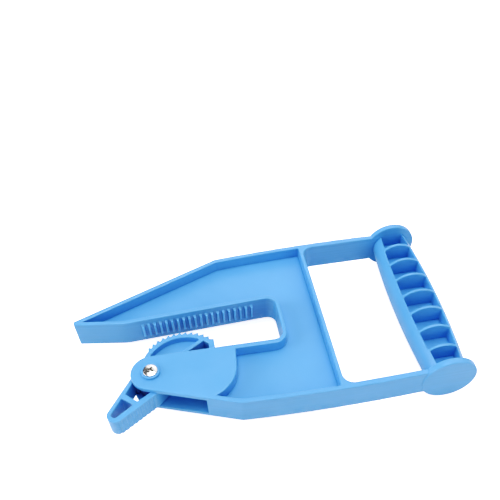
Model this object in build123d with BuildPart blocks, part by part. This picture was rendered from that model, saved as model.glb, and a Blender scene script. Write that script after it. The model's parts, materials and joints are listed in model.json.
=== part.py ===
from build123d import *
import math
import os

os.makedirs("parts", exist_ok=True)

# ---------------------------------------------------------------------------
# One-handed board and panel carrier with a self-gripping toothed cam.
# Millimetres, +Z up. Origin: bottom centre of the bounding box.
# The jaw points to -X, the bar grip is at +X, the cam is on the -Y side.
# ---------------------------------------------------------------------------

# frame
frame_t = 20.0            # thickness of the frame
web_t = 4.0               # web at mid thickness in the tray
rim_t = 3.0               # outer wall of the tray
slot_rim_t = 2.6          # wall round the board slot
near_rim_t = 3.2          # wall on the cam side of the slot
edge_r = 0.55             # rounding of the long edges
divider_t = 2.6           # wall between the tray and the hand opening
arm_in_a = 58.8           # half width of the hand opening at the divider
arm_in_b = 58.1           # half width of the hand opening at the grip
hand_r = 7.0              # corner radius of the hand opening

# grip
disc_r = 17.5             # round end discs
disc_t = 4.05
disc_y = 62.3             # outer face of the discs
disc_round = 1.0          # rounding of the discs' outer edge
grip_r_mid = 15.1         # barrel radius at the middle
grip_r_end = 12.4         # barrel radius at the discs
grip_rib_pitch = 15.0
grip_rib_t = 1.8
grip_web_t = 2.0
grip_wall = 4.7           # wall beside the grip pockets

# positions along X, measured from the hand side of the divider
x_div = 38.5
x_tip = x_div - 160.3     # jaw tip
x_bend = x_div - 62.6     # where the taper of the jaw begins
x_lead = x_div - 128.6    # end of the jaw's lead-in
x_slot = x_div - 28.3     # closed end of the board slot
x_grip = x_div + 65.8     # axis of the bar grip
x_arm = x_grip - 14.0     # end of the arms, inside the discs

# heights
z_mid = disc_r
z_bot = z_mid - frame_t / 2
z_top = z_mid + frame_t / 2

# outline values
y_bend = 60.15
taper = 0.3898            # slope of the jaw's outer side
y_tip_out = y_bend + taper * (x_tip - x_bend)
y_tip_in = 19.15
y_lead = 13.8
y_slot_far = 17.53
y_slot_near = -17.5
slot_r = 6.2
bow_y = 62.45             # widest point of the bowed arms
x_bow = x_div + 4.0
y_arm = 61.55

# cam housing
pivot_x = x_div - 113.5
pivot_y = -27.7
plate_r = 12.4
plate_t = 2.8
collar_r = 5.75
collar_h = 1.6
head_r = 4.4
head_rim = 0.4            # upright rim under the dome
head_h = 1.25
screw_r = 2.5
screw_len = 28.0
hole_r = 2.7

# grip ribs on the fixed jaw
rib_n = 20
rib_pitch = 3.807
rib_x0 = x_div - 116.19
rib_z0 = z_bot + 3.9
rib_z1 = z_bot + 16.1
rib_h = 1.7
rib_slope = 1.2           # how far the sloping ends run

# cam
cam_gap = 0.3             # clearance to each plate
cam_z0 = z_bot + plate_t + cam_gap
cam_z1 = z_top - plate_t - cam_gap
cam_cx = x_div - 93.6
cam_cy = -26.0
cam_tip_r = 28.15
cam_root_r = 26.6
cam_rim_r = 23.3
cam_pocket = 4.4          # depth of the cam's pocket from each face
teeth_n = 13
teeth_a0 = 41.9
teeth_da = 7.84
hub_r = 9.0
sleeve_r = 4.0
bore_gap = 0.05           # radial running clearance on the sleeve


def meet(p, d, q, e):
    k = ((q[0] - p[0]) * e[1] - (q[1] - p[1]) * e[0]) / (d[0] * e[1] - d[1] * e[0])
    return (p[0] + k * d[0], p[1] + k * d[1])


def shift(p, q, t):
    """Line p-q moved by t to its left, as point and direction."""
    dx, dy = q[0] - p[0], q[1] - p[1]
    n = math.hypot(dx, dy)
    return (p[0] - dy / n * t, p[1] + dx / n * t), (dx / n, dy / n)


def touch(q, c, r, side):
    """Point where a line from q touches the circle (c, r)."""
    dx, dy = q[0] - c[0], q[1] - c[1]
    a = math.atan2(dy, dx) + side * math.acos(r / math.hypot(dx, dy))
    return (c[0] + r * math.cos(a), c[1] + r * math.sin(a))


def rel(x, y):
    """Point given from the hand side of the divider."""
    return (x_div + x, y)


def tidy(edges):
    """Edges in a fixed order."""
    return sorted(edges, key=lambda e: (round(e.center().X, 3), round(e.center().Y, 3), round(e.center().Z, 3)))


pivot = (pivot_x, pivot_y)
tip_in = (x_tip, y_tip_in)
tip_out = (x_tip, y_tip_out)
lead = (x_lead, y_lead)
slot_far = (x_slot, y_slot_far)
slot_near = (x_slot, y_slot_near)
bend_far = (x_bend, y_bend)
bend_near = (x_bend, -y_bend)
plate_a = touch(slot_near, pivot, plate_r, 1)
plate_b = touch(bend_near, pivot, plate_r, -1)
ang_a = math.atan2(plate_a[1] - pivot_y, plate_a[0] - pivot_x)
ang_b = math.atan2(plate_b[1] - pivot_y, plate_b[0] - pivot_x) + 2 * math.pi
ang_m = (ang_a + ang_b) / 2
plate_m = (pivot_x + plate_r * math.cos(ang_m), pivot_y + plate_r * math.sin(ang_m))

# inner boundary of the tray
in_far = shift(bend_far, tip_out, rim_t)
in_lead = shift(tip_in, lead, slot_rim_t + 0.2)
in_slot = shift(lead, slot_far, slot_rim_t)
in_near = shift(slot_near, plate_a, near_rim_t)
in_front = shift(plate_b, bend_near, rim_t)
t_tip = meet(*in_far, *in_lead)
t_lead = meet(*in_lead, *in_slot)
x_slot_out = x_slot + 2.4
t_sfar = meet(*in_slot, (x_slot_out, 0), (0, 1))
t_snear = meet(*in_near, (x_slot_out, 0), (0, 1))
t_house0 = meet(*in_near, rel(-60.0, 0), (0, 1))
t_house1 = rel(-60.9, -29.5)
t_house2 = meet(*in_front, rel(-76.2, 0), (0, 1))
t_bnear = meet(*in_front, (x_bend + 0.4, 0), (0, 1))
t_bfar = (t_bnear[0], -t_bnear[1])
x_tray = x_div - divider_t
t_dnear = (x_tray, -(bow_y - 3.1))
t_dfar = (x_tray, bow_y - 3.1)
t_mnear = ((x_bend + x_tray) / 2, -(61.75 - 3.05))
t_mfar = ((x_bend + x_tray) / 2, 61.75 - 3.05)


def wall_y(x):
    """Slot face of the fixed jaw."""
    return y_lead + (y_slot_far - y_lead) * (x - x_lead) / (x_slot - x_lead)


def grip_r(y):
    return grip_r_mid - (grip_r_mid - grip_r_end) * (y / 58.0) ** 2


# ---------------------------------------------------------------------------
# ridges of the fixed jaw, joined to the frame below
# ---------------------------------------------------------------------------
with BuildPart() as jaw_ribs:
    with BuildSketch(Plane.XY.offset(rib_z0)):
        for i in range(rib_n):
            x = rib_x0 + i * rib_pitch
            y = wall_y(x)
            with BuildLine():
                Polyline(
                    (x + 0.52, y - rib_h + 0.14), (x + 0.64, y), (x + 0.64, y + 0.6),
                    (x - 1.35, y + 0.6), (x - 1.35, y), (x - 0.62, y - rib_h + 0.16),
                )
                ThreePointArc((x - 0.62, y - rib_h + 0.16), (x - 0.04, y - rib_h), (x + 0.52, y - rib_h + 0.14))
            make_face()
    extrude(amount=rib_z1 - rib_z0)
    # sloping ends
    wall_a = math.atan((y_slot_far - y_lead) / (x_slot - x_lead))
    x_cut = rib_x0 - 4.0
    cut = Plane(
        origin=(x_cut, wall_y(x_cut), 0.0),
        x_dir=(math.sin(wall_a), -math.cos(wall_a), 0.0),
        z_dir=(math.cos(wall_a), math.sin(wall_a), 0.0),
    )
    k = rib_slope / rib_h
    with BuildSketch(cut):
        for z, way in ((rib_z1, 1), (rib_z0, -1)):
            with BuildLine():
                Polyline(
                    (-1.0, -(z + way * k)), (rib_h + 1.0, -(z - way * k * (rib_h + 1.0))),
                    (rib_h + 1.0, -(z + way * 3.0)), (-1.0, -(z + way * 3.0)),
                    close=True,
                )
            make_face()
    extrude(amount=rib_n * rib_pitch + 8.0, mode=Mode.SUBTRACT)

# ---------------------------------------------------------------------------
# round end discs, joined to the frame below
# ---------------------------------------------------------------------------
with BuildPart() as end_discs:
    for s in (1, -1):
        face = Plane(origin=(x_grip, s * (disc_y - disc_t), z_mid), x_dir=(1, 0, 0), z_dir=(0, s, 0))
        with BuildSketch(face):
            Circle(disc_r)
        extrude(amount=disc_t)
    for y_edge, round_r in ((disc_y, disc_round), (disc_y - disc_t, 0.5)):
        brim = [e for e in end_discs.edges() if e.geom_type == GeomType.CIRCLE
                and abs(e.radius - disc_r) < 0.01 and abs(abs(e.center().Y) - y_edge) < 0.01]
        fillet(tidy(brim), round_r)

# ---------------------------------------------------------------------------
# frame: jaw, slot, tray, cam housing, arms, discs and bar grip in one moulding
# ---------------------------------------------------------------------------
with BuildPart() as frame_body:
    # outline
    with BuildSketch(Plane.XY.offset(z_bot)) as outline:
        with BuildLine():
            Polyline(tip_out, tip_in, lead, slot_far, slot_near, plate_a)
            ThreePointArc(plate_a, plate_m, plate_b)
            Line(plate_b, bend_near)
            ThreePointArc(bend_near, (x_bow, -bow_y), (x_arm, -y_arm))
            Polyline((x_arm, -y_arm), (x_arm, -arm_in_b), (x_div, -arm_in_a),
                     (x_div, arm_in_a), (x_arm, arm_in_b), (x_arm, y_arm))
            ThreePointArc((x_arm, y_arm), (x_bow, bow_y), bend_far)
            Line(bend_far, tip_out)
        make_face()

        def corner(p):
            return outline.vertices().sort_by_distance((p[0], p[1], z_bot))[0]

        fillet([corner(slot_far), corner(slot_near)], slot_r)
        fillet([corner((x_div, arm_in_a)), corner((x_div, -arm_in_a))], hand_r)
        fillet(corner(lead), 25.0)
        fillet([corner(tip_in), corner(tip_out)], 1.1)
        fillet([corner(bend_far), corner(bend_near)], 5.0)
    extrude(amount=frame_t)
    fillet(tidy(frame_body.edges().group_by(Axis.Z)[-1]), edge_r)
    fillet(tidy(frame_body.edges().group_by(Axis.Z)[0]), edge_r)

    # tray on both sides of the web
    for z, way in ((z_top, -1), (z_bot, 1)):
        with BuildSketch(Plane.XY.offset(z)) as tray:
            with BuildLine():
                Polyline(t_tip, t_lead, t_sfar, t_snear, t_house0, t_house1)
                ThreePointArc(t_house1, rel(-64.7, -42.3), t_house2)
                Line(t_house2, t_bnear)
                ThreePointArc(t_bnear, t_mnear, t_dnear)
                Line(t_dnear, t_dfar)
                ThreePointArc(t_dfar, t_mfar, t_bfar)
                Line(t_bfar, t_tip)
            make_face()

            def t_corner(p):
                return tray.vertices().sort_by_distance((p[0], p[1], z))[0]

            fillet([t_corner(t_sfar), t_corner(t_snear)], slot_r + 2.4)
            fillet(t_corner(t_lead), 25.0)
            fillet([t_corner(t_bnear), t_corner(t_bfar)], 4.0)
            fillet([t_corner(t_dnear), t_corner(t_dfar), t_corner(t_house0)], 0.8)
        extrude(amount=way * (frame_t - web_t) / 2, mode=Mode.SUBTRACT)
        rim = [e for e in frame_body.edges(Select.LAST) if abs(e.center().Z - z) < 0.01]
        fillet(tidy(rim), edge_r)

    # cam space between the two plates, open to the slot and to the front window
    with BuildSketch(Plane.XY.offset(z_bot + plate_t)):
        with BuildLine():
            c0 = rel(-62.4, -5.0)
            c1 = rel(-63.4, -29.5)
            c2 = rel(-78.0, -50.4)
            Polyline(c0, c1)
            ThreePointArc(c1, rel(-67.0, -41.2), c2)
            Polyline(c2, rel(-82.5, -48.9), rel(-82.5, -75.0), rel(-150.0, -75.0), rel(-150.0, -5.0), c0)
        make_face()
    extrude(amount=frame_t - 2 * plate_t, mode=Mode.SUBTRACT)

    # collar and screw hole
    with BuildSketch(Plane.XY.offset(z_top - 0.2)):
        with Locations(pivot):
            Circle(collar_r)
    extrude(amount=collar_h + 0.2)
    lip = [e for e in frame_body.edges(Select.LAST)
           if e.geom_type == GeomType.CIRCLE and abs(e.center().Z - (z_top + collar_h)) < 0.01]
    fillet(lip, 0.45)
    with BuildSketch(Plane.XY.offset(z_bot - 2.0)):
        with Locations(pivot):
            Circle(hole_r)
    extrude(amount=frame_t + 4.0, mode=Mode.SUBTRACT)

    # round end discs
    add(end_discs.part)

    # barrel-shaped grip
    side = Plane(origin=(x_grip, 0, z_mid), x_dir=(0, 1, 0), z_dir=(1, 0, 0))
    y_in = disc_y - disc_t + 0.5
    with BuildSketch(side):
        with BuildLine():
            Polyline((y_in, grip_r(y_in)), (y_in, 0), (-y_in, 0), (-y_in, grip_r(y_in)))
            ThreePointArc((-y_in, grip_r(y_in)), (0, grip_r_mid), (y_in, grip_r(y_in)))
        make_face()
    revolve(axis=Axis((x_grip, 0, z_mid), (0, 1, 0)))

    # pockets of the grip, from above and from below
    y_end = disc_y - disc_t
    for z, way in ((z_mid + grip_web_t / 2, 1), (z_mid - grip_web_t / 2, -1)):
        with BuildSketch(Plane.XY.offset(z)) as cores:
            w0, w1 = grip_r_mid - grip_wall, grip_r(y_end) - grip_wall
            with BuildLine():
                Line((x_grip - w1, -y_end), (x_grip + w1, -y_end))
                ThreePointArc((x_grip + w1, -y_end), (x_grip + w0, 0), (x_grip + w1, y_end))
                Line((x_grip + w1, y_end), (x_grip - w1, y_end))
                ThreePointArc((x_grip - w1, y_end), (x_grip - w0, 0), (x_grip - w1, -y_end))
            make_face()
            with Locations(*[(x_grip, k * grip_rib_pitch) for k in range(-3, 4)]):
                Rectangle(40.0, grip_rib_t, mode=Mode.SUBTRACT)
            fillet(cores.vertices(), 0.7)
        extrude(amount=way * 20.0, mode=Mode.SUBTRACT)
        mouth = [e for e in frame_body.edges(Select.LAST)
                 if e.geom_type != GeomType.LINE and abs(e.center().Z - z_mid) > 4.0 and abs(e.center().Y) < 45.5]
        fillet(tidy(mouth), 0.55)

    # ridges of the fixed jaw
    add(jaw_ribs.part)

frame_body.part.label = "frame_body"
export_step(frame_body.part, "parts/frame_body.step")

# ---------------------------------------------------------------------------
# cam and thumb lever in one moulding
# ---------------------------------------------------------------------------
lev_a = rel(-127.1, -29.2)
lev_b = rel(-140.2, -48.3)
lev_f0 = rel(-135.03, -57.35)
lev_f1 = rel(-111.7, -42.2)
lev_left = (lev_a, (lev_b[0] - lev_a[0], lev_b[1] - lev_a[1]))
lev_front = shift(lev_f0, lev_f1, 0.0)
lev_v = meet(*lev_left, *lev_front)
root_p = lev_f1
cam_low = rel(-105.0, -36.0)
lev_tip_r = 5.3
# flutes of the thumb face: along the straight face, the first one on the round of the tip
flute_n = 9
flute_pitch = 3.155
flute_s0 = 0.14           # first flute, measured along the face from lev_f0
flute_d = 0.5
flute_mouth = 1.05        # half widths
flute_floor = 0.5
left_in = shift(lev_a, lev_b, lev_tip_r)
fd = lev_front[1]
front_in = ((lev_f0[0] - fd[1] * lev_tip_r, lev_f0[1] + fd[0] * lev_tip_r), fd)
tip_c = meet(*left_in, *front_in)
s_tip = (tip_c[0] - lev_f0[0]) * fd[0] + (tip_c[1] - lev_f0[1]) * fd[1]


def thumb_face(s):
    """Point of the thumb face at s along it, and the direction out of it."""
    if s >= s_tip:
        return (lev_f0[0] + fd[0] * s, lev_f0[1] + fd[1] * s), (fd[1], -fd[0])
    a = math.atan2(-fd[0], fd[1]) - (s_tip - s) / lev_tip_r
    n = (math.cos(a), math.sin(a))
    return (tip_c[0] + lev_tip_r * n[0], tip_c[1] + lev_tip_r * n[1]), n


cam_end = rel(-72.4, -17.5)


def polar(a, r):
    return (cam_cx + r * math.cos(math.radians(a)), cam_cy + r * math.sin(math.radians(a)))


teeth = [cam_end, (cam_end[0], polar(teeth_a0, cam_tip_r)[1])]
for i in range(1, teeth_n):
    a = teeth_a0 + i * teeth_da
    teeth.append(polar(a - teeth_da + 4.6, cam_root_r))
    teeth.append(polar(a - 1.5, cam_root_r))
    teeth.append(polar(a - 0.45, cam_tip_r))
    teeth.append(polar(a + 0.45, cam_tip_r))
root_a = teeth_a0 + (teeth_n - 1) * teeth_da + 4.6
teeth.append(polar(root_a, cam_root_r))
# where the lever's left side leaves the root circle
ux, uy = lev_a[0] - lev_b[0], lev_a[1] - lev_b[1]
un = math.hypot(ux, uy)
ux, uy = ux / un, uy / un
fx, fy = lev_a[0] - cam_cx, lev_a[1] - cam_cy
hb = fx * ux + fy * uy
hs = -hb - math.sqrt(hb * hb - (fx * fx + fy * fy - cam_root_r ** 2))
join = (lev_a[0] + hs * ux, lev_a[1] + hs * uy)
join_a = math.degrees(math.atan2(join[1] - cam_cy, join[0] - cam_cx))

with BuildPart() as cam_lever:
    with BuildSketch(Plane.XY.offset(cam_z0)) as cam_out:
        with BuildLine():
            Polyline(*teeth)
            ThreePointArc(teeth[-1], polar((root_a + join_a) / 2, cam_root_r), join)
            Polyline(join, lev_v, root_p, cam_low, cam_end)
        make_face()

        def c_corner(p):
            return cam_out.vertices().sort_by_distance((p[0], p[1], cam_z0))[0]

        fillet(c_corner(lev_v), lev_tip_r)
        fillet([c_corner(root_p), c_corner(cam_low)], 2.0)
        fillet(c_corner(cam_end), 1.0)
    extrude(amount=cam_z1 - cam_z0)

    # pockets of the cam, with a web between them
    spoke_d = rel(-79.7, -6.3)
    sx, sy = spoke_d[0] - pivot_x, spoke_d[1] - pivot_y
    sn = math.hypot(sx, sy)
    sx, sy = sx / sn, sy / sn
    low_in = shift(cam_low, cam_end, 2.6)
    x_end_in = cam_end[0] - 2.5
    low_a = meet(*low_in, (x_end_in, 0), (0, 1))
    low_b = (low_in[0][0] + 1.0, low_in[0][1] + 0.6)
    for z, way, depth in ((cam_z1, -1, cam_pocket), (cam_z0, 1, cam_pocket)):
        with BuildSketch(Plane.XY.offset(z)) as cam_core:
            with Locations(rel(-93.6, -25.5)):
                Circle(cam_rim_r)
            with BuildLine():
                Polyline(rel(-119.0, 2.0), (x_end_in, 2.0), low_a, low_b, rel(-119.0, low_b[1]), rel(-119.0, 2.0))
            make_face(mode=Mode.INTERSECT)
            with BuildLine():
                Polyline(
                    (pivot_x - sy * 1.2, pivot_y + sx * 1.2),
                    (pivot_x - sy * 1.2 + sx * 60, pivot_y + sx * 1.2 + sy * 60),
                    (pivot_x + sy * 60 + sx * 60, pivot_y - sx * 60 + sy * 60),
                    (pivot_x + sy * 60, pivot_y - sx * 60),
                    close=True,
                )
            make_face(mode=Mode.SUBTRACT)
            with Locations(pivot):
                Circle(hub_r, mode=Mode.SUBTRACT)
            fillet(cam_core.vertices(), 0.6)
        extrude(amount=way * depth, mode=Mode.SUBTRACT)

    # open cell between the spoke and the cam's heel
    with BuildSketch(Plane.XY.offset(cam_z0 - 1.0)) as heel:
        def rim_pt(x):
            return rel(x, -25.5 + math.sqrt(cam_rim_r ** 2 - (x + 93.6) ** 2))

        h0 = (pivot_x + sx * 14.0 + sy * 1.2, pivot_y + sy * 14.0 - sx * 1.2)
        h1 = rim_pt(-79.0)
        h2 = rim_pt(-76.0)
        h3 = meet(*low_in, (h2[0], 0), (0, 1))
        h4 = meet(*low_in, rel(-98.0, 0), (0, 1))
        with BuildLine():
            Line(h0, h1)
            ThreePointArc(h1, rim_pt(-77.5), h2)
            Polyline(h2, h3, h4, h0)
        make_face()
        fillet(heel.vertices(), 0.6)
    extrude(amount=cam_z1 - cam_z0 + 2.0, mode=Mode.SUBTRACT)

    # open cells of the lever
    with BuildSketch(Plane.XY.offset(cam_z0 - 1.0)) as cell:
        with BuildLine():
            Polyline(rel(-130.0, -38.4), rel(-123.2, -44.9), rel(-114.6, -39.8), rel(-114.6, -30.0),
                     rel(-124.6, -30.0), rel(-130.0, -38.4))
        make_face()
        with Locations(pivot):
            Circle(hub_r, mode=Mode.SUBTRACT)
        fillet(cell.vertices(), 0.6)
    extrude(amount=cam_z1 - cam_z0 + 2.0, mode=Mode.SUBTRACT)
    with BuildSketch(Plane.XY.offset(cam_z0 - 1.0)) as cell2:
        with BuildLine():
            Polyline(rel(-132.4, -40.95), rel(-125.7, -46.8), rel(-136.7, -54.2), rel(-139.5, -52.0), rel(-132.4, -40.95))
        make_face()

        def k_corner(p):
            return cell2.vertices().sort_by_distance((p[0], p[1], cam_z0 - 1.0))[0]

        fillet([k_corner(rel(-136.7, -54.2)), k_corner(rel(-139.5, -52.0))], 1.6)
        fillet([k_corner(rel(-132.4, -40.95)), k_corner(rel(-125.7, -46.8))], 0.8)
    extrude(amount=cam_z1 - cam_z0 + 2.0, mode=Mode.SUBTRACT)

    # small edge break on both faces
    chamfer(tidy(cam_lever.edges().group_by(Axis.Z)[-1]), length=0.3)
    chamfer(tidy(cam_lever.edges().group_by(Axis.Z)[0]), length=0.3)

    # flutes of the thumb face, open below and closed by the rim above
    with BuildSketch(Plane.XY.offset(cam_z0 - 1.0)):
        for i in range(flute_n):
            q, n = thumb_face(flute_s0 + i * flute_pitch)
            out = [(t, d) for t, d in ((-flute_floor, -flute_d), (flute_floor, -flute_d), (flute_mouth, 0.0),
                                       (flute_mouth, 1.5), (-flute_mouth, 1.5), (-flute_mouth, 0.0))]
            with BuildLine():
                Polyline(*[(q[0] - n[1] * t + n[0] * d, q[1] + n[0] * t + n[1] * d) for t, d in out], close=True)
            make_face()
    extrude(amount=cam_z1 - cam_z0 - 0.1, mode=Mode.SUBTRACT)

    # pivot bore
    with BuildSketch(Plane.XY.offset(cam_z0 - 1.0)):
        with Locations(pivot):
            Circle(sleeve_r + bore_gap)
    extrude(amount=cam_z1 - cam_z0 + 2.0, mode=Mode.SUBTRACT)

cam_lever.part.label = "cam_lever"
export_step(cam_lever.part, "parts/cam_lever.step")

# ---------------------------------------------------------------------------
# spacer sleeve between the plates
# ---------------------------------------------------------------------------
with BuildPart() as pivot_sleeve:
    with BuildSketch(Plane.XY.offset(z_bot + plate_t)):
        with Locations(pivot):
            Circle(sleeve_r)
            Circle(hole_r, mode=Mode.SUBTRACT)
    extrude(amount=frame_t - 2 * plate_t)
pivot_sleeve.part.label = "pivot_sleeve"
export_step(pivot_sleeve.part, "parts/pivot_sleeve.step")

# ---------------------------------------------------------------------------
# low pan-head screw with a cross recess
# ---------------------------------------------------------------------------
z_head = z_top + collar_h
with BuildPart() as pivot_screw:
    with BuildSketch(Plane(origin=(pivot_x, pivot_y, z_head), x_dir=(1, 0, 0), z_dir=(0, -1, 0))):
        with BuildLine():
            Polyline((0, head_h), (0, -screw_len), (screw_r - 0.5, -screw_len), (screw_r, -screw_len + 0.5),
                     (screw_r, 0), (head_r, 0), (head_r, head_rim))
            ThreePointArc((head_r, head_rim), (head_r * 0.71, head_rim + (head_h - head_rim) * 0.505), (0, head_h))
        make_face()
    revolve(axis=Axis((pivot_x, pivot_y, z_head), (0, 0, 1)))
    rim_edge = [e for e in pivot_screw.edges()
                if e.geom_type == GeomType.CIRCLE and abs(e.center().Z - (z_head + head_rim)) < 0.01]
    fillet(rim_edge, 0.2)
    with BuildSketch(Plane.XY.offset(z_head + head_h + 0.2)):
        with Locations(pivot):
            Rectangle(4.6, 1.2, rotation=-33)
            Rectangle(1.2, 4.6, rotation=-33)
            Circle(1.1)
    extrude(amount=-1.9, taper=14, mode=Mode.SUBTRACT)
pivot_screw.part.label = "pivot_screw"
export_step(pivot_screw.part, "parts/pivot_screw.step")

# ---------------------------------------------------------------------------
# washer, lock nut and its nylon ring under the bottom plate
# ---------------------------------------------------------------------------
washer_t = 1.0
nut_hex_h = 3.6
nut_h = 5.0
with BuildPart() as nut_washer:
    with BuildSketch(Plane.XY.offset(z_bot - washer_t)):
        with Locations(pivot):
            Circle(5.0)
            Circle(hole_r, mode=Mode.SUBTRACT)
    extrude(amount=washer_t)
nut_washer.part.label = "nut_washer"
export_step(nut_washer.part, "parts/nut_washer.step")

z_nut = z_bot - washer_t
with BuildPart() as lock_nut:
    with BuildSketch(Plane.XY.offset(z_nut - nut_hex_h)):
        with Locations(pivot):
            RegularPolygon(4.0, 6, major_radius=False)
    extrude(amount=nut_hex_h)
    chamfer(lock_nut.edges().group_by(Axis.Z)[0], length=0.35)
    with BuildSketch(Plane.XY.offset(z_nut - nut_h)):
        with Locations(pivot):
            Circle(3.75)
    extrude(amount=nut_h - nut_hex_h + 0.4)
    fillet(lock_nut.edges().group_by(Axis.Z)[0], 0.3)
    with BuildSketch(Plane.XY.offset(z_nut - nut_h - 1.0)):
        with Locations(pivot):
            Circle(screw_r)
    extrude(amount=nut_h + 2.0, mode=Mode.SUBTRACT)
    with BuildSketch(Plane.XY.offset(z_nut - nut_h - 1.0)):
        with Locations(pivot):
            Circle(3.2)
    extrude(amount=1.0 + 1.4, mode=Mode.SUBTRACT)
lock_nut.part.label = "lock_nut"
export_step(lock_nut.part, "parts/lock_nut.step")

with BuildPart() as nut_insert:
    with BuildSketch(Plane.XY.offset(z_nut - nut_h + 0.15)):
        with Locations(pivot):
            Circle(3.2)
            Circle(screw_r, mode=Mode.SUBTRACT)
    extrude(amount=1.25)
nut_insert.part.label = "nut_insert"
export_step(nut_insert.part, "parts/nut_insert.step")
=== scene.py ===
"""Looks of the board and mat carrier: materials, floor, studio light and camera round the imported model."""
import json
import math

import bpy
from mathutils import Matrix, Vector

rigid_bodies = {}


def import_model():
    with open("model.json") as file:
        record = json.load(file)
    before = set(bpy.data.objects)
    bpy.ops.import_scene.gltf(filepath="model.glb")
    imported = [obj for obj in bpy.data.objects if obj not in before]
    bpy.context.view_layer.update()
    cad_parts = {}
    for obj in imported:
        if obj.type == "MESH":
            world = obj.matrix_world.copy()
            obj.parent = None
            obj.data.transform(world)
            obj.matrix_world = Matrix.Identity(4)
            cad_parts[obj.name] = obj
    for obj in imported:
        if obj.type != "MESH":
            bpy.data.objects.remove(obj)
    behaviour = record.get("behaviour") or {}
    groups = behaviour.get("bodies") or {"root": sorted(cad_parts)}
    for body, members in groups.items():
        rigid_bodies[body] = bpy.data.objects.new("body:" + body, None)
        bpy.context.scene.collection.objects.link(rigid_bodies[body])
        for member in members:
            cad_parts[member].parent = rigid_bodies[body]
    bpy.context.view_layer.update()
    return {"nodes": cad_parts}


for o in list(bpy.data.objects):
    bpy.data.objects.remove(o, do_unlink=True)

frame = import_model()
nodes = frame["nodes"]
scene = bpy.context.scene

# ------------------------------------------------------------------ numbers
BLUE = (0.0976, 0.317, 0.708)         # plastic, main colour (linear)
BLUE_LIGHT = (0.103, 0.329, 0.724)
BLUE_DEEP = (0.092, 0.305, 0.692)
EDGE_HIGHLIGHT_BLUE = (0.145, 0.400, 0.800)     # painted highlight on rounded edges
NOOK_SHADE_BLUE = (0.012, 0.130, 0.450)     # painted shade in corners and recesses
HUB_SHADE_BLUE = (0.010, 0.050, 0.200)      # painted shade round the hub, between the plates
CREST_HIGHLIGHT_BLUE = (0.155, 0.490, 1.000)      # painted highlight on the crests of the jaw's ribs
RECESS_SHADE_GREY = (0.210, 0.185, 0.160)         # painted shade in the screw's recess
ROUGH = 0.36
WALL = (0.03719, -1.0, 0.0)           # the jaw's slot face: depth into the slot = WALL . point + WALL_AT
WALL_AT = 0.017151
RIB_X = (-0.0792, -0.0042)            # from the first rib to the last
PIVOT = (-0.0750, -0.0277)

AMBIENT = 0.11                        # what the room gives
SOFTBOXES = (                         # name, azimuth from +Y towards +X, elevation, brightness
    ("top", 0, 90, 4.20),
    ("left", 270, 22, 4.80),
    ("back", 0, 28, 1.35),
    ("right_back", 45, 39, 1.15),
    ("right", 90, 48, 0.68),
    ("right_front", 135, 22, 1.78),
    ("front", 180, 22, 0.98),
)
FLOOR_GLOW = 0.85                     # how white the floor is drawn


# ------------------------------------------------------------------ node helpers
def new_material(name):
    m = bpy.data.materials.new(name)
    m.use_nodes = True
    nt = m.node_tree
    nt.nodes.clear()
    out = nt.nodes.new("ShaderNodeOutputMaterial")
    bsdf = nt.nodes.new("ShaderNodeBsdfPrincipled")
    nt.links.new(bsdf.outputs["BSDF"], out.inputs["Surface"])
    return m, nt, bsdf


def coords(nt):
    return nt.nodes.new("ShaderNodeTexCoord").outputs["Object"]


def mapped(nt, vec, scale=(1, 1, 1), rot=(0, 0, 0), loc=(0, 0, 0)):
    n = nt.nodes.new("ShaderNodeMapping")
    n.inputs["Scale"].default_value = scale
    n.inputs["Rotation"].default_value = rot
    n.inputs["Location"].default_value = loc
    nt.links.new(vec, n.inputs["Vector"])
    return n.outputs["Vector"]


def noise(nt, vec, scale, detail=2.0, rough=0.5, distort=0.0):
    n = nt.nodes.new("ShaderNodeTexNoise")
    n.inputs["Scale"].default_value = scale
    n.inputs["Detail"].default_value = detail
    n.inputs["Roughness"].default_value = rough
    n.inputs["Distortion"].default_value = distort
    nt.links.new(vec, n.inputs["Vector"])
    return n.outputs["Fac"]


def ramp(nt, fac, stops):
    n = nt.nodes.new("ShaderNodeValToRGB")
    r = n.color_ramp
    while len(r.elements) < len(stops):
        r.elements.new(0.5)
    for e, (pos, col) in zip(r.elements, stops):
        e.position = pos
        e.color = (*col, 1.0) if len(col) == 3 else col
    nt.links.new(fac, n.inputs["Fac"])
    return n.outputs["Color"]


def remap(nt, fac, lo, hi, a=0.0, b=1.0):
    n = nt.nodes.new("ShaderNodeMapRange")
    n.inputs["From Min"].default_value = a
    n.inputs["From Max"].default_value = b
    n.inputs["To Min"].default_value = lo
    n.inputs["To Max"].default_value = hi
    nt.links.new(fac, n.inputs["Value"])
    return n.outputs["Result"]


def math_node(nt, op, a, b=None):
    n = nt.nodes.new("ShaderNodeMath")
    n.operation = op
    for i, v in enumerate((a, b)):
        if v is None:
            continue
        if isinstance(v, (int, float)):
            n.inputs[i].default_value = v
        else:
            nt.links.new(v, n.inputs[i])
    return n.outputs["Value"]


def mix_colour(nt, fac, a, b, blend="MIX"):
    n = nt.nodes.new("ShaderNodeMix")
    n.data_type = "RGBA"
    n.blend_type = blend
    if isinstance(fac, (int, float)):
        n.inputs[0].default_value = fac
    else:
        nt.links.new(fac, n.inputs[0])
    for i, v in ((6, a), (7, b)):
        if isinstance(v, tuple):
            n.inputs[i].default_value = (*v, 1.0)
        else:
            nt.links.new(v, n.inputs[i])
    return n.outputs[2]


def bump(nt, height, strength, distance, normal=None):
    n = nt.nodes.new("ShaderNodeBump")
    n.inputs["Strength"].default_value = strength
    n.inputs["Distance"].default_value = distance
    nt.links.new(height, n.inputs["Height"])
    if normal is not None:
        nt.links.new(normal, n.inputs["Normal"])
    return n.outputs["Normal"]


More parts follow.
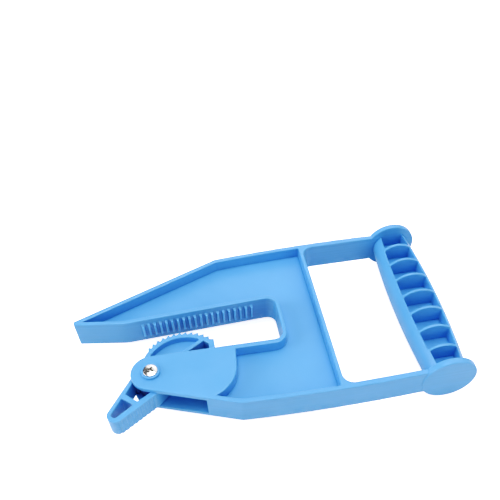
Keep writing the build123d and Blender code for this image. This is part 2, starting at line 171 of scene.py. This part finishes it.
def edge_mask(nt, radius, lo, hi):
    """1 on rounded outer edges, 0 on flats: how far the rounded normal leaves the true one."""
    bev = nt.nodes.new("ShaderNodeBevel")
    bev.samples = 6
    bev.inputs["Radius"].default_value = radius
    geo = nt.nodes.new("ShaderNodeNewGeometry")
    dot = nt.nodes.new("ShaderNodeVectorMath")
    dot.operation = "DOT_PRODUCT"
    nt.links.new(bev.outputs["Normal"], dot.inputs[0])
    nt.links.new(geo.outputs["Normal"], dot.inputs[1])
    return remap(nt, dot.outputs["Value"], 0.0, 1.0, lo, hi)


def side_mask(nt):
    """1 on upright faces, 0 on level ones."""
    geo = nt.nodes.new("ShaderNodeNewGeometry")
    sep = nt.nodes.new("ShaderNodeSeparateXYZ")
    nt.links.new(geo.outputs["Normal"], sep.inputs["Vector"])
    up = math_node(nt, "ABSOLUTE", sep.outputs["Z"])
    return remap(nt, up, 1.0, 0.0, 0.15, 0.6)


def crest_mask(nt):
    """1 on the crests of the jaw's ribs, where the painted highlight goes."""
    vec = coords(nt)
    dot = nt.nodes.new("ShaderNodeVectorMath")
    dot.operation = "DOT_PRODUCT"
    nt.links.new(vec, dot.inputs[0])
    dot.inputs[1].default_value = WALL
    depth = math_node(nt, "ADD", dot.outputs["Value"], WALL_AT)
    over = remap(nt, depth, 0.0, 1.0, 0.0011, 0.0015)
    under = remap(nt, depth, 1.0, 0.0, 0.0019, 0.0022)
    sep = nt.nodes.new("ShaderNodeSeparateXYZ")
    nt.links.new(vec, sep.inputs["Vector"])
    first = remap(nt, sep.outputs["X"], 0.0, 1.0, RIB_X[0], RIB_X[0] + 0.0002)
    last = remap(nt, sep.outputs["X"], 1.0, 0.0, RIB_X[1] - 0.0002, RIB_X[1])
    return math_node(nt, "MULTIPLY", math_node(nt, "MULTIPLY", over, under), math_node(nt, "MULTIPLY", first, last))


def nook_mask(nt, reach, lo, hi):
    """0 deep in corners narrower than the reach, 1 in the open."""
    ao = nt.nodes.new("ShaderNodeAmbientOcclusion")
    ao.samples = 8
    ao.inputs["Distance"].default_value = reach
    return remap(nt, ao.outputs["AO"], 0.0, 1.0, lo, hi)


def hub_mask(nt):
    """1 on the upright faces round the hub, between the plates, 0 further out."""
    flat = mapped(nt, coords(nt), scale=(1, 1, 0), loc=(-PIVOT[0], -PIVOT[1], 0))
    length = nt.nodes.new("ShaderNodeVectorMath")
    length.operation = "LENGTH"
    nt.links.new(flat, length.inputs[0])
    near = remap(nt, length.outputs["Value"], 1.0, 0.0, 0.0098, 0.0140)
    return math_node(nt, "MULTIPLY", near, side_mask(nt))


# ------------------------------------------------------------------ materials
def plastic(name, seed, ribs=False, hub=False):
    """Satin moulded plastic: cloudy colour, fine spark-eroded grain, drag lines on the sides, painted highlights on
    rounded edges and rib crests, painted shade in corners and round the hub.
    """
    m, nt, bsdf = new_material(name)
    vec = mapped(nt, coords(nt), loc=(seed, seed * 0.7, seed * 1.3))
    cloud = noise(nt, vec, 28.0, 3.0, 0.55, 0.4)
    base = ramp(nt, cloud, [(0.30, BLUE_DEEP), (0.50, BLUE), (0.72, BLUE_LIGHT)])
    drag = noise(nt, mapped(nt, vec, scale=(14.0, 14.0, 900.0)), 1.0, 3.0, 0.6)
    sides = side_mask(nt)
    lines = math_node(nt, "MULTIPLY", remap(nt, drag, -0.5, 0.5, 0.3, 0.7), sides)
    streak = math_node(nt, "MULTIPLY", lines, 0.10)
    shade = math_node(nt, "ADD", streak, 1.0)
    tone = nt.nodes.new("ShaderNodeHueSaturation")
    nt.links.new(base, tone.inputs["Color"])
    nt.links.new(shade, tone.inputs["Value"])
    # painted highlight: rounded edges drawn in a lighter blue; their roughness is also lowered a little
    edges = edge_mask(nt, 0.0006, 0.995, 0.86)
    edge_highlight = math_node(nt, "MULTIPLY", edges, 0.6)
    colour = mix_colour(nt, edge_highlight, tone.outputs["Color"], EDGE_HIGHLIGHT_BLUE)
    if ribs:
        # painted highlight: the crests of the jaw's ribs drawn in a light blue
        crest_highlight = math_node(nt, "MULTIPLY", crest_mask(nt), remap(nt, cloud, 0.75, 1.0, 0.3, 0.7))
        colour = mix_colour(nt, crest_highlight, colour, CREST_HIGHLIGHT_BLUE)
    # painted shade: deep corners and recesses drawn towards a dark blue, only faintly on the cam lever
    corner_shade = remap(nt, nook_mask(nt, 0.0014, 0.50, 0.92), 0.05 if hub else 0.40, 0.0)
    colour = mix_colour(nt, corner_shade, colour, NOOK_SHADE_BLUE)
    # painted shade: the upright faces round the hub drawn nearly navy, with their specular turned down
    if hub:
        hub_shade = hub_mask(nt)
        colour = mix_colour(nt, remap(nt, hub_shade, 0.0, 0.85), colour, HUB_SHADE_BLUE)
        nt.links.new(remap(nt, hub_shade, 0.5, 0.08), bsdf.inputs["Specular IOR Level"])
    nt.links.new(colour, bsdf.inputs["Base Color"])
    patch = noise(nt, vec, 60.0, 4.0, 0.6)
    rough = remap(nt, patch, ROUGH - 0.05, ROUGH + 0.05, 0.3, 0.7)
    rough = math_node(nt, "SUBTRACT", rough, math_node(nt, "MULTIPLY", edges, 0.05))
    nt.links.new(rough, bsdf.inputs["Roughness"])
    grain = noise(nt, vec, 3400.0, 2.0, 0.6)
    wave = noise(nt, vec, 70.0, 2.0, 0.5)
    n1 = bump(nt, wave, 0.25, 0.0004)
    n2 = bump(nt, lines, 0.25, 0.00006, n1)
    n3 = bump(nt, grain, 0.22, 0.00005, n2)
    nt.links.new(n3, bsdf.inputs["Normal"])
    bsdf.inputs["IOR"].default_value = 1.49
    return m


def metal(name, dark, mid, light, rough, seed, grain=0.25, lay=(1.0, 1.0, 1.0), recess_shade=0.0):
    """Plated steel: cloudy plating, fine lay from turning or rolling, small scratches, painted shade in the corners.
    """
    m, nt, bsdf = new_material(name)
    vec = mapped(nt, coords(nt), loc=(seed, seed * 0.6, seed * 1.7))
    cloud = noise(nt, vec, 420.0, 4.0, 0.6, 0.6)
    colour = ramp(nt, cloud, [(0.30, dark), (0.52, mid), (0.74, light)])
    # painted shade: the recesses drawn towards a dark grey
    if recess_shade:
        nook = remap(nt, nook_mask(nt, 0.0016, 0.40, 0.97), recess_shade, 0.0)
        colour = mix_colour(nt, nook, colour, RECESS_SHADE_GREY)
    nt.links.new(colour, bsdf.inputs["Base Color"])
    fine = noise(nt, mapped(nt, vec, scale=lay), 3000.0, 3.0, 0.6)
    scratch = nt.nodes.new("ShaderNodeTexWave")
    scratch.wave_type = "BANDS"
    scratch.inputs["Scale"].default_value = 900.0
    scratch.inputs["Distortion"].default_value = 9.0
    scratch.inputs["Detail"].default_value = 3.0
    nt.links.new(vec, scratch.inputs["Vector"])
    r = math_node(nt, "ADD", remap(nt, cloud, rough - 0.05, rough + 0.07, 0.3, 0.7), remap(nt, fine, -0.03, 0.04, 0.3, 0.7))
    nt.links.new(r, bsdf.inputs["Roughness"])
    n1 = bump(nt, scratch.outputs["Fac"], grain * 0.3, 0.00002)
    n2 = bump(nt, fine, grain, 0.00003, n1)
    nt.links.new(n2, bsdf.inputs["Normal"])
    bsdf.inputs["Metallic"].default_value = 1.0
    return m


def nylon(name, seed):
    m, nt, bsdf = new_material(name)
    vec = mapped(nt, coords(nt), loc=(seed, seed, seed))
    cloud = noise(nt, vec, 600.0, 3.0, 0.6)
    nt.links.new(ramp(nt, cloud, [(0.30, (0.70, 0.69, 0.62)), (0.70, (0.82, 0.81, 0.75))]), bsdf.inputs["Base Color"])
    nt.links.new(remap(nt, cloud, 0.38, 0.52, 0.3, 0.7), bsdf.inputs["Roughness"])
    nt.links.new(bump(nt, noise(nt, vec, 4000.0, 2.0, 0.6), 0.25, 0.00004), bsdf.inputs["Normal"])
    return m


looks = {
    "frame_body": plastic("frame_plastic_look", 0.0, ribs=True),
    "cam_lever": plastic("cam_plastic_look", 3.1, hub=True),
    "pivot_screw": metal("screw_chrome_look", (0.58, 0.57, 0.56), (0.72, 0.71, 0.70), (0.84, 0.83, 0.82), 0.22, 1.0, 0.12, recess_shade=0.25),
    "pivot_sleeve": metal("sleeve_steel_look", (0.42, 0.42, 0.42), (0.52, 0.52, 0.52), (0.60, 0.60, 0.60), 0.30, 2.0, 0.3, (1, 1, 0.1)),
    "nut_washer": metal("washer_steel_look", (0.52, 0.53, 0.54), (0.64, 0.65, 0.66), (0.74, 0.74, 0.74), 0.26, 3.0),
    "lock_nut": metal("nut_steel_look", (0.50, 0.51, 0.53), (0.63, 0.64, 0.66), (0.74, 0.74, 0.75), 0.24, 4.0),
    "nut_insert": nylon("nylon_look", 5.0),
}
for name, mat in looks.items():
    slots = nodes[name].data.materials
    for i in range(len(slots)):
        slots[i] = mat

# ------------------------------------------------------------------ floor
def sheet_mesh(name, verts, faces):
    me = bpy.data.meshes.new(name)
    me.from_pydata(verts, [], faces)
    o = bpy.data.objects.new(name, me)
    scene.collection.objects.link(o)
    return o


def paper(name, emission, white=0.90):
    """Matt white paper, with the faint cloud that a roll of it has."""
    m, nt, bsdf = new_material(name)
    cloud = noise(nt, coords(nt), 3.0, 2.0, 0.5)
    lo, hi = white - 0.01, white + 0.01
    nt.links.new(ramp(nt, cloud, [(0.3, (lo, lo, lo)), (0.7, (hi, hi, hi))]), bsdf.inputs["Base Color"])
    bsdf.inputs["Roughness"].default_value = 0.9
    bsdf.inputs["Specular IOR Level"].default_value = 0.1
    bsdf.inputs["Emission Color"].default_value = (1.0, 1.0, 1.0, 1.0)
    bsdf.inputs["Emission Strength"].default_value = emission
    return m


S = 9.0
flat = [(-S, -S, 0), (S, -S, 0), (S, S, 0), (-S, S, 0)]
# the floor that throws light back at the carrier
bounce = sheet_mesh("floor_bounce", [(x, y, -0.0006) for x, y, z in flat], [(0, 1, 2, 3)])
bounce.data.materials.append(paper("floor_bounce_paper", 0.0, 0.80))
bounce.visible_camera = False
# the floor that the camera sees, as white as the photograph's cut-out ground
floor = sheet_mesh("floor", flat, [(0, 1, 2, 3)])
floor.data.materials.append(paper("floor_paper", FLOOR_GLOW))
ring, rows = 48, 10
verts, faces = [], []
for j in range(rows + 1):
    e = math.radians(-2.0 + 92.0 * j / rows)
    for i in range(ring):
        t = 2 * math.pi * i / ring
        verts.append((S * math.cos(e) * math.cos(t), S * math.cos(e) * math.sin(t), S * math.sin(e)))
for j in range(rows):
    for i in range(ring):
        k = (i + 1) % ring
        faces.append((j * ring + i, j * ring + k, (j + 1) * ring + k, (j + 1) * ring + i))
backdrop = sheet_mesh("backdrop", verts, faces)
backdrop.data.materials.append(paper("backdrop_paper", 1.0))
for o in (floor, backdrop):
    o.visible_diffuse = o.visible_glossy = o.visible_transmission = o.visible_shadow = False

# ------------------------------------------------------------------ light
world = bpy.data.worlds.new("studio")
scene.world = world
world.use_nodes = True
bg = [n for n in world.node_tree.nodes if n.type == "BACKGROUND"][0]
bg.inputs["Color"].default_value = (1.0, 1.0, 1.0, 1.0)
bg.inputs["Strength"].default_value = AMBIENT

FAR, SIDE = 3.0, 2.08                 # how far the softboxes stand, and how wide they are (metres)
for name, azimuth, elevation, level in SOFTBOXES:
    a, e = math.radians(azimuth), math.radians(elevation)
    out = Vector((math.cos(e) * math.sin(a), math.cos(e) * math.cos(a), math.sin(e)))
    d = bpy.data.lights.new(name, "AREA")
    d.shape = "SQUARE"
    d.size = SIDE
    d.energy = math.pi * level * SIDE * SIDE
    o = bpy.data.objects.new(name, d)
    scene.collection.objects.link(o)
    o.location = out * FAR
    o.rotation_mode = "QUATERNION"
    o.rotation_quaternion = (-out).to_track_quat("-Z", "Y")

# ------------------------------------------------------------------ camera
cd = bpy.data.cameras.new("camera")
cd.sensor_fit = "HORIZONTAL"
cd.sensor_width = 36.0
cd.lens = 45.2077
cd.shift_x = -0.024
cd.shift_y = 0.150
cd.clip_start, cd.clip_end = 0.02, 60.0
cam = bpy.data.objects.new("camera", cd)
scene.collection.objects.link(cam)
right = Vector((0.983399, -0.179882, -0.023846))
up = Vector((0.154338, 0.760072, 0.631245))
back = Vector((-0.095425, -0.624446, 0.775217))
m = Matrix((right, up, back)).transposed().to_4x4()
m.translation = Vector((-0.04040984, -0.25641241, 0.33983021))
cam.matrix_world = m
scene.camera = cam

scene.view_settings.view_transform = "Standard"
scene.view_settings.look = "None"
# the photograph's own contrast: deep shadows pressed down, middle tones lifted
scene.view_settings.use_curve_mapping = True
tone = scene.view_settings.curve_mapping
tone.use_clip = True
curve = tone.curves[3]
for x, y in ((0.030, 0.0135), (0.10, 0.0990), (0.30, 0.388)):
    curve.points.new(x, y)
tone.update()
